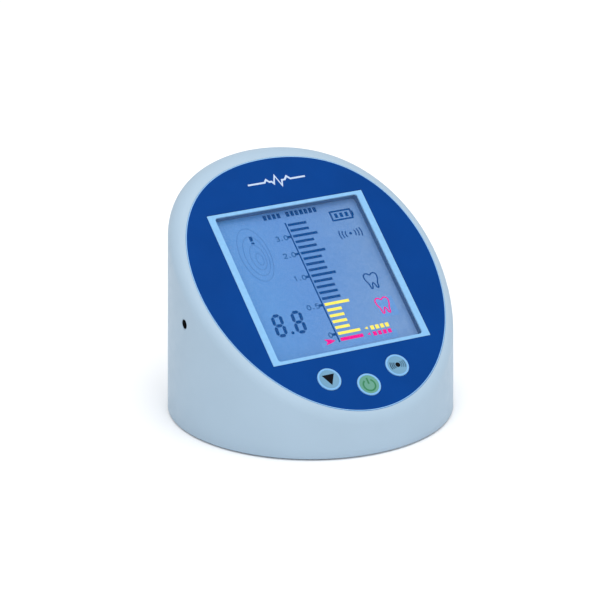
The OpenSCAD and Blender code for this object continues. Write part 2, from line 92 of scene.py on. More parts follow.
# A radius and the end of that stretch, counted from the wall's inside
PROBE_NOSE = (2.05, -2.35)
PROBE_BODY = (3.8, 11.0)
PROBE_BORE = (1.8, 10.15)
PROBE_Y = 0.4
PROBE_H = 43.3
CHARGE_HOLE_R = 4.1
CHARGE_H = 27.5
BASE_SCREW_AT = (40.0, 25.5)
# A boss has an outer radius, an inner radius, a lowest and a highest level
BASE_BOSS = (4.2, 1.25, 3.2, 15.2)
DISPLAY_BOSSES = ((40.0, 12.0), (40.0, -28.0), (26.0, -47.5))
DISPLAY_BOSS = (2.8, 0.9, -8.0, -2.5)
# A foot's radius and height
FOOT = (4.5, 2.0)
FOOT_AT = (31.0, 30.0)

# The outer skin lies this far inside the true curves, within the flat facets of the CAD's solid
SKIN = 0.08
EDGE = 0.08
# The panel's film fills its recess but for a hairline, and the probe hole fits closer than in the CAD
PANEL_SHARE = 1.0062
PROBE_HOLE_R = 2.1
AROUND = 240
# Radius of the smallest ring at the middle of a turned end
AXIS_R = 0.01
ANGLES = [i * math.tau / AROUND for i in range(AROUND)]
FACE_NORMAL = Vector((0, -math.sin(FACE_TILT), math.cos(FACE_TILT)))
PRINT_H = 0.03


# ---- The drum's surface ----

# Angles are counted from the back (+Y), heights from the surface that the drum stands on.

def plan_radius(angle):
    wave = (FLAT_ENDS * math.cos(2 * angle) + FLAT_BACK * math.cos(3 * angle)
            + SQUARENESS * math.cos(4 * angle))
    return BODY_R * (1 - wave)


def rim_radius(angle):
    return RIM_R + RIM_MORE_BEHIND * math.cos(angle) + RIM_MORE_AT_ENDS * math.cos(2 * angle)


def under_face(y, depth):
    return FACE_H + (y * math.sin(FACE_TILT) - depth) / math.cos(FACE_TILT)


def outward(angle):
    return Vector((math.sin(angle), math.cos(angle), 0))


def rim_centre(angle):
    """Centre of the rim's round section, from the drum's middle."""
    radius = rim_radius(angle)
    plan = outward(angle) * (plan_radius(angle) - radius)
    lean = 1 - DRAFT * under_face(plan.y, radius) / BODY_R
    return Vector((plan.x * lean, plan.y * lean, under_face(plan.y * lean, radius)))


AXIS_Y = (plan_radius(math.pi) - plan_radius(0)) / 2
MIDDLE = Vector((0, AXIS_Y, 0))


def on_face(u, v, n):
    """A point in the face's axes: u to the right, v up the slope, n out of the face."""
    cos, sin = math.cos(FACE_TILT), math.sin(FACE_TILT)
    return MIDDLE + Vector((u, v * cos - n * sin, FACE_H + v * sin + n * cos))


def face_edge(angle, share):
    """The line on the face where the flat ends and the rim starts, as (u, v)."""
    centre = rim_centre(angle)
    v = centre.y * math.cos(FACE_TILT) + (centre.z - FACE_H) * math.sin(FACE_TILT)
    return share * centre.x, share * v


def face_ring(share, level, inset=0.0):
    """A ring of points on the face's outline at one level."""
    ring = []
    for angle in ANGLES:
        u, v = face_edge(angle, share)
        keep = 1 - inset / math.hypot(u, v)
        ring.append(on_face(u * keep, v * keep, level))
    return ring


def wall_point(angle, inset, bottom, along, short_by=0.0):
    """A point of the wall or the rim. along runs from 0 at the foot to 1 where the rim starts and 2 where
    it ends, short_by millimetres before the flat of the face."""
    centre, radius = rim_centre(angle), rim_radius(angle) - inset
    foot = outward(angle) * (plan_radius(angle) - inset) + Vector((0, 0, bottom))
    to_centre = centre - foot
    across = to_centre.dot(outward(angle))
    slope = math.atan2(to_centre.z, across) - math.asin(radius / math.hypot(across, to_centre.z))
    wall_normal = outward(angle) * math.sin(slope) - Vector((0, 0, math.cos(slope)))
    if along <= 1:
        return MIDDLE + foot.lerp(centre + radius * wall_normal, along)
    part = 1 - math.asin(short_by / radius) / wall_normal.angle(FACE_NORMAL)
    return MIDDLE + centre + radius * wall_normal.slerp(FACE_NORMAL, (along - 1) * part)


def wall_rings(inset, bottom, wall_steps, rim_steps, short_by=None):
    """Rings from the foot to the face; short_by gives the distance left at each angle."""
    shares = [i / wall_steps for i in range(wall_steps)]
    shares += [1 + i / rim_steps for i in range(rim_steps + 1)]
    left = [short_by(angle) if short_by else 0.0 for angle in ANGLES]
    return [[wall_point(angle, inset, bottom, share, short) for angle, short in zip(ANGLES, left)]
            for share in shares]


# ---- Making meshes ----

def skin(rings, closed=False):
    """Points and faces of a surface through rings of equal counts, its ends capped, or joined if closed."""
    count = len(rings[0])
    points = [point for ring in rings for point in ring]
    pairs = [(i, i + 1) for i in range(len(rings) - 1)]
    if closed:
        pairs.append((len(rings) - 1, 0))
    faces = []
    for a, b in pairs:
        for i in range(count):
            j = (i + 1) % count
            faces.append((a * count + i, a * count + j, b * count + j, b * count + i))
    if not closed:
        faces.append(tuple(reversed(range(count))))
        faces.append(tuple(range((len(rings) - 1) * count, len(rings) * count)))
    return points, faces


def turned(profile, centre, axis, count=64, closed=False):
    """Points and faces of a profile of (radius, height) pairs turned about an axis through a centre."""
    axis = Vector(axis).normalized()
    side = axis.orthogonal().normalized()
    other = axis.cross(side)
    directions = [side * math.cos(i * math.tau / count) + other * math.sin(i * math.tau / count)
                  for i in range(count)]
    rings = [[centre + d * radius + axis * height for d in directions] for radius, height in profile]
    return skin(rings, closed)


def rounded_outline(width, height, radius, steps=8):
    """Points round a rectangle with round corners, middle at 0, 0."""
    outline = []
    for corner, (x, y) in enumerate(((1, 1), (-1, 1), (-1, -1), (1, -1))):
        for step in range(steps + 1):
            turn = (corner + step / steps) * math.pi / 2
            outline.append((x * (width / 2 - radius) + radius * math.cos(turn),
                            y * (height / 2 - radius) + radius * math.sin(turn)))
    return outline


def joined(*parts):
    """Several (points, faces) pairs as one."""
    points, faces = [], []
    for part_points, part_faces in parts:
        faces += [tuple(i + len(points) for i in face) for face in part_faces]
        points += part_points
    return points, faces


def new_object(name, shape, materials, face_materials=None, smooth_up_to=35):
    """A mesh object from points in millimetres, shaded smooth except at edges sharper than the limit."""
    points, faces = shape
    mesh = bpy.data.meshes.new(name)
    mesh.from_pydata([point * MM for point in points], [], faces)
    for material in materials:
        mesh.materials.append(material)
    if face_materials:
        mesh.polygons.foreach_set("material_index", face_materials)
    mesh.polygons.foreach_set("use_smooth", [True] * len(mesh.polygons))
    mesh.set_sharp_from_angle(angle=math.radians(smooth_up_to))
    mesh.validate()
    piece = bpy.data.objects.new(name, mesh)
    bpy.context.scene.collection.objects.link(piece)
    return piece


def cut(piece, shape, smooth_up_to=35):
    """Takes a closed shape away from a piece for good."""
    cutter = new_object("cutter", shape, [])
    step = piece.modifiers.new("openings", "BOOLEAN")
    step.operation = "DIFFERENCE"
    step.solver = "EXACT"
    step.object = cutter
    depsgraph = bpy.context.evaluated_depsgraph_get()
    mesh = bpy.data.meshes.new_from_object(piece.evaluated_get(depsgraph))
    mesh.set_sharp_from_angle(angle=math.radians(smooth_up_to))
    piece.modifiers.clear()
    piece.data = mesh
    bpy.data.objects.remove(cutter)


def settle(piece, body, slot, *nodes):
    """Puts a piece on its body and hides the CAD nodes that it stands for. The slot is not used."""
    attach(piece, body)
    if nodes:
        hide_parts(*nodes)


def box_shape(width, height, low, high, u=0.0, v=0.0):
    """A block in the face's axes."""
    outline = [(u + x * width / 2, v + y * height / 2) for x, y in ((1, 1), (-1, 1), (-1, -1), (1, -1))]
    return skin([[on_face(x, y, level) for x, y in outline] for level in (low, high)])


def key_hole_shapes(low, high):
    return [turned([(KEY_R + KEY_GAP, low), (KEY_R + KEY_GAP, high)], on_face(u, v, 0), FACE_NORMAL)
            for u, v in KEYS.values()]


class Marks:
    """Flat marks in the face's axes, as thin raised solids gathered into one mesh."""

    def __init__(self, u, v, level):
        self.u = u
        self.v = v
        self.level = level
        self.parts = []

    def place(self, point, raised):
        return on_face(self.u + point[0], self.v + point[1], self.level + raised * PRINT_H)

    def shape(self, outline):
        """A mark from a convex outline that runs anticlockwise."""
        self.parts.append(skin([[self.place(point, raised) for point in outline] for raised in (0, 1)]))

    def bar(self, x, y, width, height):
        """An upright rectangle whose middle is at x, y."""
        self.shape([(x + sx * width / 2, y + sy * height / 2)
                    for sx, sy in ((1, 1), (-1, 1), (-1, -1), (1, -1))])

    def disc(self, x, y, radius, count=24):
        turns = [i * math.tau / count for i in range(count)]
        self.shape([(x + radius * math.cos(turn), y + radius * math.sin(turn)) for turn in turns])

    def stroke(self, path, width, closed=False):
        """A line of even width through the points of a path."""
        last = len(path) - 1
        sections = []
        for i, point in enumerate(path):
            before = Vector(path[i - 1 if closed or i else i])
            after = Vector(path[(i + 1) % len(path) if closed or i < last else i])
            here = Vector(point)
            arriving = (here - before).normalized() if here != before else (after - here).normalized()
            leaving = (after - here).normalized() if here != after else arriving
            middle = (arriving + leaving).normalized()
            side = Vector((-middle.y, middle.x)) * (width / 2 / max(0.5, middle.dot(leaving)))
            sections.append([self.place(here + side, 0), self.place(here - side, 0),
                             self.place(here - side, 1), self.place(here + side, 1)])
        self.parts.append(skin(sections, closed))

    def arc(self, x, y, radius, start, end, width, squash=1.0, steps=24):
        """Part of a ring between two angles in degrees, counted anticlockwise from the right."""
        turns = [math.radians(start + (end - start) * i / steps) for i in range(steps + 1)]
        full = end - start >= 360
        path = [(x + radius * math.cos(turn), y + radius * squash * math.sin(turn)) for turn in turns]
        self.stroke(path[:-1] if full else path, width, closed=full)

    def finish(self, name, material, body, slot):
        piece = new_object(name, joined(*self.parts), [material])
        settle(piece, body, slot)
        return piece


def smooth_loop(points, steps=5):
    """A closed smooth path through points."""
    path = []
    count = len(points)
    for i in range(count):
        before, start, end, after = (Vector(points[(i + k) % count]) for k in (-1, 0, 1, 2))
        for step in range(steps):
            t = step / steps
            path.append(0.5 * (2 * start + (end - before) * t
                               + (2 * before - 5 * start + 4 * end - after) * t * t
                               + (3 * start - before - 3 * end + after) * t ** 3))
    return path


# ---- Materials ----

def linear(red, green, blue):
    """A display colour, 0 to 255, as the light that a shader takes."""
    shares = [channel / 255 for channel in (red, green, blue)]
    return tuple(s / 12.92 if s <= 0.04045 else ((s + 0.055) / 1.055) ** 2.4 for s in shares) + (1.0,)


class Finish:
    """A material under construction. Textures lie in the row frame, in metres."""

    def __init__(self, name):
        self.material = bpy.data.materials.new(name)
        self.material.use_nodes = True
        self.nodes = self.material.node_tree.nodes
        self.links = self.material.node_tree.links
        self.shader = self.nodes["Principled BSDF"]
        self.place = self.nodes.new("ShaderNodeTexCoord").outputs["Object"]

    def link(self, source, target):
        self.links.new(source, target)

    def noise(self, size_mm, detail=2.0, place=None):
        """A cloudy pattern whose patches are about this large, from 0 to 1."""
        node = self.nodes.new("ShaderNodeTexNoise")
        node.inputs["Scale"].default_value = 1 / (size_mm * MM)
        node.inputs["Detail"].default_value = detail
        self.link(place or self.place, node.inputs["Vector"])
        return node.outputs["Fac"]

    def ramp(self, source, stops):
        """Colours at positions from 0 to 1."""
        node = self.nodes.new("ShaderNodeValToRGB")
        while len(node.color_ramp.elements) < len(stops):
            node.color_ramp.elements.new(0.5)
        for element, (position, colour) in zip(node.color_ramp.elements, stops):
            element.position = position
            element.color = colour
        self.link(source, node.inputs["Fac"])
        return node.outputs["Color"]

    def spread(self, source, low, high, start=0.3, end=0.7):
        """Turns a pattern into numbers between two limits."""
        node = self.nodes.new("ShaderNodeMapRange")
        node.inputs["From Min"].default_value = start
        node.inputs["From Max"].default_value = end
        node.inputs["To Min"].default_value = low
        node.inputs["To Max"].default_value = high
        self.link(source, node.inputs["Value"])
        return node.outputs["Result"]

    def bump(self, source, height_mm, strength=1.0, after=None):
        node = self.nodes.new("ShaderNodeBump")
        node.inputs["Distance"].default_value = height_mm * MM
        node.inputs["Strength"].default_value = strength
        self.link(source, node.inputs["Height"])
        if after:
            self.link(after, node.inputs["Normal"])
        return node.outputs["Normal"]

    def mixed(self, share, first, second):
        """Two colours or patterns mixed by a third."""
        node = self.nodes.new("ShaderNodeMix")
        node.data_type = "RGBA"
        self.link(share, node.inputs["Factor"])
        for value, socket in ((first, node.inputs[6]), (second, node.inputs[7])):
            if isinstance(value, tuple):
                socket.default_value = value
            else:
                self.link(value, socket)
        return node.outputs[2]

    def face_place(self, v, size):
        """Places in the face's axes, from -1 to 1 over a width and height round a point v up the slope."""
        node = self.nodes.new("ShaderNodeMapping")
        node.vector_type = "TEXTURE"
        node.inputs["Location"].default_value = on_face(0, v, 0) * MM
        node.inputs["Rotation"].default_value = (FACE_TILT, 0, 0)
        node.inputs["Scale"].default_value = (size[0] / 2 * MM, size[1] / 2 * MM, MM)
        self.link(self.place, node.inputs["Vector"])
        return node.outputs["Vector"]

    def set(self, **values):
        for name, value in values.items():
            self.shader.inputs[name.replace("_", " ")].default_value = value

    def surface(self, colour, roughness, normal=None):
        self.link(colour, self.shader.inputs["Base Color"])
        self.link(roughness, self.shader.inputs["Roughness"])
        if normal:
            self.link(normal, self.shader.inputs["Normal"])
        return self.material


def shades(colour, change):
    """A colour a little darker and a little lighter."""
    return [tuple(min(1.0, channel * (1 + k * change)) for channel in colour[:3]) + (1.0,) for k in (-1, 1)]


def moulded(name, colour, roughness=0.45, change=0.03, grain_mm=0.35, grain_height_mm=0.004, specular=0.4):
    """Moulded plastic: a fine even grain, with colour and gloss that drift a little over the part."""
    f = Finish(name)
    low, high = shades(colour, change)
    tone = f.ramp(f.noise(26, 3), [(0.3, low), (0.7, high)])
    gloss = f.spread(f.noise(4, 4), roughness - 0.06, roughness + 0.06)
    grain = f.bump(f.noise(grain_mm, 3), grain_height_mm)
    f.set(Specular_IOR_Level=specular)
    return f.surface(tone, gloss, f.bump(f.noise(9, 1), 0.02, 0.3, grain))


def ink(name, colour, roughness=0.4, change=0.05, specular=0.25):
    """Printing ink, a little uneven where it was laid on."""
    f = Finish(name)
    low, high = shades(colour, change)
    tone = f.ramp(f.noise(1.6, 3), [(0.3, low), (0.7, high)])
    f.set(Specular_IOR_Level=specular)
    return f.surface(tone, f.spread(f.noise(0.5, 2), roughness - 0.08, roughness + 0.08),
                     f.bump(f.noise(0.25, 2), 0.002))


def metal(name, colour, roughness=0.3, streak_mm=0.5):
    """Plated or turned metal with fine tool marks and slightly dull patches."""
    f = Finish(name)
    low, high = shades(colour, 0.08)
    tone = f.ramp(f.noise(5, 4), [(0.3, low), (0.75, high)])
    f.set(Metallic=1.0)
    return f.surface(tone, f.spread(f.noise(streak_mm, 4), roughness - 0.1, roughness + 0.14),
                     f.bump(f.noise(0.15, 2), 0.003))


def rubber(name, colour):
    """Soft rubber: dull, with a pitted surface and dusty patches."""
    f = Finish(name)
    low, high = shades(colour, 0.2)
    patches = f.spread(f.noise(3, 5), 0.0, 0.35, 0.5, 0.8)
    dusty = f.mixed(patches, f.ramp(f.noise(1.2), [(0.3, low), (0.7, high)]), linear(120, 122, 125))
    f.set(Specular_IOR_Level=0.25)
    return f.surface(dusty, f.spread(f.noise(0.8), 0.75, 0.95), f.bump(f.noise(0.2, 3), 0.02))


def circuit_board(name):
    """Green solder mask over copper tracks, with pads between them."""
    f = Finish(name)
    cells = f.nodes.new("ShaderNodeTexBrick")
    cells.inputs["Scale"].default_value = 1 / (6 * MM)
    cells.inputs["Mortar Size"].default_value = 0.03
    cells.inputs["Color1"].default_value = linear(18, 88, 52)
    cells.inputs["Color2"].default_value = linear(22, 98, 60)
    cells.inputs["Mortar"].default_value = linear(46, 128, 82)
    f.link(f.place, cells.inputs["Vector"])
    pads = f.nodes.new("ShaderNodeTexVoronoi")
    pads.inputs["Scale"].default_value = 1 / (4 * MM)
    f.link(f.place, pads.inputs["Vector"])
    pad_share = f.spread(pads.outputs["Distance"], 1.0, 0.0, 0.10, 0.13)
    tone = f.mixed(pad_share, cells.outputs["Color"], linear(196, 188, 150))
    f.set(Specular_IOR_Level=0.5)
    return f.surface(tone, f.spread(f.noise(2, 3), 0.25, 0.4), f.bump(cells.outputs["Fac"], 0.03))


def panel_film(name):
    """The printed film on the face: deep blue under a fine velvet texture."""
    f = Finish(name)
    blue = linear(2, 57, 127)
    low, high = shades(blue, 0.05)
    tone = f.ramp(f.noise(18, 3), [(0.3, low), (0.7, high)])
    f.set(Specular_IOR_Level=0.03)
    velvet = f.bump(f.noise(0.18, 2), 0.006)
    return f.surface(tone, f.spread(f.noise(3, 4), 0.36, 0.48), f.bump(f.noise(7, 1), 0.01, 0.3, velvet))


def display_sheet(name):
    """The display: pale blue, a little greener on the left and paler low on the right, faintly lit."""
    f = Finish(name)
    across = f.nodes.new("ShaderNodeSeparateXYZ")
    f.link(f.face_place(WINDOW_Y, VIEW), across.inputs["Vector"])
    sideways = f.ramp(f.spread(across.outputs["X"], 0.0, 1.0, -1.0, 1.0),
                      [(0.0, linear(73, 127, 184)), (0.45, linear(75, 121, 179)),
                       (1.0, linear(90, 126, 172))])
    low_right = f.nodes.new("ShaderNodeMath")
    low_right.operation = "SUBTRACT"
    f.link(across.outputs["X"], low_right.inputs[0])
    f.link(across.outputs["Y"], low_right.inputs[1])
    share = f.spread(low_right.outputs["Value"], 0.0, 0.75, 0.2, 2.0)
    paler = f.mixed(share, sideways, linear(104, 138, 182))
    cloud = f.mixed(f.spread(f.noise(5, 4), 0.0, 0.25), paler, linear(63, 113, 174))
    f.link(cloud, f.shader.inputs["Emission Color"])
    f.set(Emission_Strength=0.1, Specular_IOR_Level=0.15)
    return f.surface(cloud, f.spread(f.noise(1.5, 2), 0.22, 0.32), f.bump(f.noise(0.3, 2), 0.002))


def clear_pane(name):
    """Clear plastic with a barely seen haze and the odd speck."""
    f = Finish(name)
    f.set(Specular_IOR_Level=0.3)
    specks = f.spread(f.noise(0.8, 5), 0.004, 0.02, 0.45, 0.8)
    f.link(specks, f.shader.inputs["Alpha"])
    return f.surface(f.ramp(f.noise(12), [(0.3, linear(214, 228, 242)), (0.7, linear(226, 236, 247))]),
                     f.spread(f.noise(2, 3), 0.08, 0.16))


WALL_GREY = linear(158, 180, 198)
housing_plastic = moulded("housing_plastic", WALL_GREY, 0.46, 0.02, 0.5, 0.006, 0.3)
base_plastic = moulded("base_plastic", linear(163, 184, 203), 0.5, 0.03)
panel_blue = panel_film("panel_blue")
# Painted highlight: a pale ink for the film's edge line and its sides, standing in for the light caught at
# the edge
panel_edge_highlight = ink("panel_edge_highlight", linear(138, 186, 226))
panel_mark = ink("panel_mark", linear(178, 196, 220))
border_blue = ink("border_blue", linear(124, 175, 217), specular=0.15)
frame_blue = moulded("frame_blue", linear(120, 168, 208), 0.4, 0.03, 0.3, 0.003)
# Painted shade: a dark slate blue for the window recess's walls, standing in for the shade that falls
# inside the recess
frame_painted_shade = moulded("frame_painted_shade", linear(58, 98, 144), 0.5, 0.05)
foot_black = rubber("foot_black", linear(34, 35, 38))
jack_black = moulded("jack_black", linear(14, 15, 18), 0.4)
display_blue = display_sheet("display_blue")
pane_clear = clear_pane("pane_clear")
segment_blue = ink("segment_blue", linear(2, 64, 124), specular=0.02)
segment_faint = ink("segment_faint", linear(36, 86, 140), specular=0.02)
segment_ghost = ink("segment_ghost", linear(66, 112, 168), specular=0.02)
segment_pale = ink("segment_pale", linear(92, 138, 194), specular=0.05)
segment_yellow = ink("segment_yellow", linear(236, 218, 92), specular=0.05)
segment_magenta = ink("segment_magenta", linear(222, 10, 134), specular=0.02)
key_ring = moulded("key_ring", linear(112, 166, 213), 0.35, 0.03, 0.3, 0.003, 0.3)
key_grey = moulded("key_grey", linear(96, 142, 172), 0.4, 0.04, 0.3, 0.003, 0.3)
key_green = moulded("key_green", linear(84, 142, 124), 0.4, 0.04, 0.3, 0.003, 0.3)
sign_black = ink("sign_black", linear(4, 7, 14), specular=0.05)
sign_grey = ink("sign_grey", linear(44, 70, 90), specular=0.05)
sign_pale = ink("sign_pale", linear(66, 102, 126), specular=0.05)
sign_green = ink("sign_green", linear(56, 118, 84), specular=0.05)

# CAD nodes that are shown as they are, and what each is made of
BARE_NODES = {
    "display_glass": display_blue,
    "backlight": moulded("light_guide", linear(228, 236, 244), 0.25),
    "backlight_lamps": moulded("lamp_plastic", linear(240, 236, 214), 0.3),
    "display_contacts": rubber("contact_rubber", linear(70, 72, 76)),
    "display_board": circuit_board("display_board_green"),
    "main_board": circuit_board("main_board_green"),
    "display_screws": metal("screw_steel", linear(196, 198, 202), 0.3),
    "board_screws": metal("board_screw_steel", linear(196, 198, 202), 0.3),
    "base_screws": metal("base_screw_steel", linear(186, 188, 192), 0.34),
    "door_screws": metal("door_screw_steel", linear(186, 188, 192), 0.34),
    "down_switch": moulded("switch_black", linear(40, 42, 46)),
    "power_switch": moulded("power_switch_black", linear(40, 42, 46)),
    "sound_switch": moulded("sound_switch_black", linear(40, 42, 46)),
    "down_plunger": moulded("plunger_black", linear(28, 30, 34), 0.5),
    "power_plunger": moulded("power_plunger_black", linear(28, 30, 34), 0.5),
    "sound_plunger": moulded("sound_plunger_black", linear(28, 30, 34), 0.5),
    "probe_lugs": metal("contact_brass", linear(206, 178, 106), 0.28),
    "probe_leads": moulded("lead_insulation", linear(206, 208, 212), 0.5),
    "charge_socket": moulded("charge_black", linear(24, 26, 30), 0.4),
    "charge_pin": metal("pin_nickel", linear(206, 204, 196), 0.22),
    "measuring_chip": moulded("chip_black", linear(30, 31, 34), 0.55),
    "small_chips": moulded("small_chip_black", linear(30, 31, 34), 0.55),
    "capacitors": moulded("capacitor_sleeve", linear(30, 52, 96), 0.3),
    "isolating_transformer": moulded("transformer_tape", linear(222, 196, 90), 0.35),
    "buzzer": moulded("buzzer_black", linear(22, 23, 26), 0.5),
    "ribbon_cable": moulded("ribbon_grey", linear(190, 192, 196), 0.45),
    "ribbon_plugs": moulded("ribbon_plug_ivory", linear(226, 220, 200), 0.45),
    "lead_plugs": moulded("lead_plug_ivory", linear(226, 220, 200), 0.45),
    "battery_cells": moulded("cell_sleeve", linear(38, 132, 84), 0.28),
    "battery_plates": metal("contact_steel", linear(200, 200, 198), 0.26),
    "battery_springs": metal("spring_steel", linear(200, 200, 198), 0.26),
    "battery_leads": moulded("battery_lead_insulation", linear(150, 34, 34), 0.5),
    "base_plate": base_plastic,
    "battery_door": moulded("door_plastic", linear(163, 184, 203), 0.5, 0.03),
}
for node_name, material in BARE_NODES.items():
    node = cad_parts[node_name]
    node.data.materials.clear()
    node.data.materials.append(material)


# ---- Housing ----

PROBE_WALL = -plan_radius(math.pi / 2) * (1 - DRAFT * PROBE_H / BODY_R)


def countersunk_hole(radius, wider, start, end, centre, axis):
    """What a hole takes from the wall: a cone that narrows from start to end, then a straight bore."""
    return turned([(radius + wider, start), (radius, end), (radius, WALL + 1)], centre, axis)


def build_housing():
    """The shell, from the inside of its top down to the foot, up the outside and into the recess."""
    foot_flat, foot_corner, foot_rise = 0.5, (0.22, 0.12), 0.4

    def beside_recess(angle):
        return (RECESS_SHARE - 1) * math.hypot(*face_edge(angle, 1)) + EDGE

    inside = wall_rings(WALL, FOOT_GAP, 2, 8)
    foot = [[MIDDLE + outward(angle) * (plan_radius(angle) - inset) + Vector((0, 0, FOOT_GAP + up))
             for angle in ANGLES] for inset, up in ((foot_flat, 0), foot_corner)]
    outside = wall_rings(SKIN, FOOT_GAP + foot_rise, 5, 22, beside_recess)
    recess = [face_ring(RECESS_SHARE, level) for level in (-SKIN - EDGE, PANEL_BOTTOM)]
    shell = new_object("housing_shell", skin(inside[::-1] + foot + outside + recess), [housing_plastic])
    opening = [side + 2 * (FRAME_LAP + FRAME_GAP) for side in WINDOW]
    probe_hole = countersunk_hole(PROBE_HOLE_R, 1.0, -0.9, 0.12,
                                  Vector((PROBE_WALL, PROBE_Y, PROBE_H)), (1, 0, 0))
    charge_wall = AXIS_Y + plan_radius(0) * (1 - DRAFT * CHARGE_H / BODY_R)
    charge_hole = countersunk_hole(CHARGE_HOLE_R, 1.3, -1.2, 0.1,
                                   Vector((0, charge_wall, CHARGE_H)), (0, -1, 0))
    cut(shell, joined(box_shape(*opening, -WALL - 1, 1, 0, WINDOW_Y), *key_hole_shapes(-WALL - 1, 1),
                      probe_hole, charge_hole))
    settle(shell, "case", "housing_plastic", "housing")


def boss(centre, axis, outer, inner, low, high):
    """A tube that a screw goes into, with its edges broken."""
    edge = 0.2
    profile = [(inner, high), (inner, low), (outer - edge, low), (outer, low + edge), (outer, high)]
    return turned(profile, centre, axis, 32, closed=True)


def build_bosses():
    """The tubes for the base's screws and for the display board's."""
    up = Vector((0, 0, 1))
    corners = [Vector((x * BASE_SCREW_AT[0], y * BASE_SCREW_AT[1], 0)) for x in (-1, 1) for y in (-1, 1)]
    tubes = [boss(corner, up, *BASE_BOSS) for corner in corners]
    tubes += [boss(on_face(side * u, v, 0), FACE_NORMAL, *DISPLAY_BOSS)
              for u, v in DISPLAY_BOSSES for side in (-1, 1)]
    settle(new_object("housing_bosses", joined(*tubes), [housing_plastic]), "case", "housing_plastic")


def build_probe_jack():
    """The socket for the probe's plug: its nose ends flush in the wall, with a rim in the wall's grey."""
    nose_r, front = PROBE_NOSE
    body_r, back = PROBE_BODY
    bore_r, floor = PROBE_BORE
    edge = 0.04
    profile = [(AXIS_R, floor), (bore_r, floor), (bore_r, front + edge), (bore_r + edge, front),
               (nose_r - edge, front), (nose_r, front + edge), (nose_r, 0), (body_r - EDGE, 0),
               (body_r, EDGE), (body_r, back - EDGE), (body_r - EDGE, back), (AXIS_R, back)]
    around = 48
    shape = turned(profile, Vector((PROBE_WALL + WALL, PROBE_Y, PROBE_H)), (1, 0, 0), around)
    rim = [1 if 2 <= face // around <= 4 else 0 for face in range(len(shape[1]))]
    jack = new_object("probe_jack", shape, [jack_black, housing_plastic], rim)
    settle(jack, "case", "black_plastic", "probe_socket")


def build_feet():
    """Four rubber feet: a round pad with a soft edge and a shallow dish underneath."""
    radius, height = FOOT
    dish, dish_r = 0.25, radius - 2.2
    profile = [(AXIS_R, dish), (dish_r, dish), (dish_r + 0.3, 0.05), (dish_r + 0.5, 0), (radius - 0.4, 0),
               (radius - 0.12, 0.12), (radius, 0.4), (radius, height - 0.1), (radius - 0.1, height),
               (AXIS_R, height)]
    pads = [turned(profile, Vector((x * FOOT_AT[0], y * FOOT_AT[1], 0)), (0, 0, 1), 48)
            for x in (-1, 1) for y in (-1, 1)]
    settle(new_object("rubber_feet", joined(*pads), [foot_black]), "case", "foot_rubber", "feet")


# ---- Panel and window ----

def build_panel():
    """The printed film with openings, a pale edge line of painted highlight and a pulse line near the top.
    """
    edge = 0.03
    rings = [face_ring(PANEL_SHARE, PANEL_BOTTOM), face_ring(PANEL_SHARE, PANEL_TOP - edge),
             face_ring(PANEL_SHARE, PANEL_TOP, edge)]
    # The film's sides take the pale ink too: painted light that lifts the shade in the hairline gap
    painted_highlight_sides = [1] * (2 * AROUND) + [0, 0]
    panel = new_object("panel_film", skin(rings), [panel_blue, panel_edge_highlight], painted_highlight_sides)
    cut(panel, joined(box_shape(*WINDOW, -1, 1, 0, WINDOW_Y), *key_hole_shapes(-1, 1)))
    settle(panel, "case", "panel_print", "face_panel")
    # A pale line along the film's edge, which is a painted highlight
    border = Marks(0, 0, PANEL_TOP)
    path = [face_edge(angle, PANEL_SHARE - 0.005) for angle in ANGLES]
    border.stroke(path, 0.28, closed=True)
    border.finish("edge_highlight_line", panel_edge_highlight, "case", "panel_print")
    pulse = Marks(0.7, 37.3, PANEL_TOP)
    pulse.stroke([(-12.5, 0), (-5.2, 0), (-4.2, 1.2), (-3.2, 0), (-2.2, 0), (-1.5, -1.1), (0, 2.5),
                  (1.5, -2.5), (2.3, 0), (3.6, 0), (4.8, 1.4), (6, 0), (12.5, 0)], 0.75)
    pulse.finish("panel_pulse", panel_mark, "case", "panel_print")


def window_ring(size, radius, level):
    return [on_face(x, WINDOW_Y + y, level) for x, y in rounded_outline(*size, radius)]


def grown(size, by):
    return size[0] + 2 * by, size[1] + 2 * by


def build_window_frame():
    """The frame behind the film, with a seat for the glass and a flange under the wall."""
    edge = 0.15
    sharp = 0.1
    rings = [window_ring(grown(WINDOW, FRAME_LAP), sharp, PANEL_BOTTOM),
             window_ring(grown(VIEW, edge), VIEW_CORNER_R + edge, PANEL_BOTTOM),
             window_ring(VIEW, VIEW_CORNER_R, PANEL_BOTTOM - edge),
             window_ring(VIEW, VIEW_CORNER_R, GLASS_TOP),
             window_ring(grown(GLASS, 0.1), sharp, GLASS_TOP),
             window_ring(grown(GLASS, 0.1), sharp, FRAME_BOTTOM),
             window_ring(grown(WINDOW, FRAME_FLANGE), sharp, FRAME_BOTTOM),
             window_ring(grown(WINDOW, FRAME_FLANGE), sharp, -WALL),
             window_ring(grown(WINDOW, FRAME_LAP), sharp, -WALL)]
    shape = skin(rings, closed=True)
    count = len(rings[0])
    # The faces of the recess walls take the painted shade
    painted_shade_walls = [1 if face // count == 2 else 0 for face in range(len(shape[1]))]
    piece = new_object("window_bezel", shape, [frame_blue, frame_painted_shade], painted_shade_walls)
    settle(piece, "case", "frame_plastic", "window_frame")


def build_window_pane():
    """The clear pane, its edges broken."""
    low, high = PANEL_BOTTOM, PANE_TOP
    size = grown(WINDOW, -0.05)
    rings = [window_ring(grown(size, -EDGE), 0.2, low), window_ring(size, 0.2, low + EDGE),
             window_ring(size, 0.2, high - EDGE), window_ring(grown(size, -EDGE), 0.2, high)]
    settle(new_object("window_pane", skin(rings), [pane_clear]), "case", "clear_plastic", "display_window")


